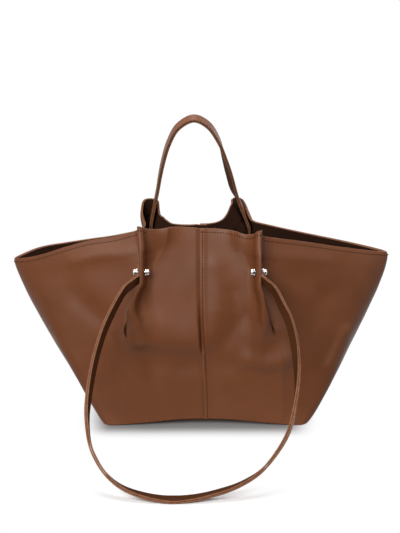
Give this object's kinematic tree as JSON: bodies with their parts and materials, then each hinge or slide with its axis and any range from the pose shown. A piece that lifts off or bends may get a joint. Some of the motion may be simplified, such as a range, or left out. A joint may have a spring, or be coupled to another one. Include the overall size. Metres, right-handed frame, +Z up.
{
  "type": "tote bag",
  "caption": "Leather tote bag with flared sides, pinched pleats held by screw posts, an upright carry handle and a long shoulder strap lying forward.",
  "frame": {"origin": "on the underside of the base, on the plane of the centre seams and halfway between the front and the back", "axes": "+X to the bag's right as seen from the front, -Y out of the front, +Z up"},
  "size_m": [0.4532, 0.374, 0.3625],
  "materials": {
    "brown_leather": "smooth semi-gloss",
    "dark_lining": "dark matt flesh side",
    "stiffener_board": "matt",
    "chrome": "polished"
  },
  "bodies": {
    "bag": {"front_left_panel": "brown_leather", "front_right_panel": "brown_leather", "back_left_panel": "brown_leather", "back_right_panel": "brown_leather", "front_left_facing": "dark_lining", "front_right_facing": "dark_lining", "back_left_facing": "dark_lining", "back_right_facing": "dark_lining", "base_panel": "brown_leather", "base_board": "stiffener_board", "front_left_post": "chrome", "front_right_post": "chrome", "back_left_post": "chrome", "back_right_post": "chrome", "front_left_screw": "chrome", "front_right_screw": "chrome", "back_left_screw": "chrome", "back_right_screw": "chrome"},
    "carry_handle": {"carry_handle_outer": "brown_leather", "carry_handle_lining": "dark_lining"},
    "shoulder_strap": {"shoulder_strap_outer": "brown_leather", "shoulder_strap_lining": "dark_lining"}
  },
  "joints": [
    {"name": "carry_handle_swing", "type": "hinge", "parent": "bag", "child": "carry_handle", "pos_m": [0, 0.0702, 0.19], "axis": [1, 0, 0], "range_deg": [-5, 35]},
    {"name": "shoulder_strap_swing", "type": "hinge", "parent": "bag", "child": "shoulder_strap", "pos_m": [0, -0.07296, 0.19], "axis": [-1, 0, 0], "range_deg": [0, 140]}
  ]
}
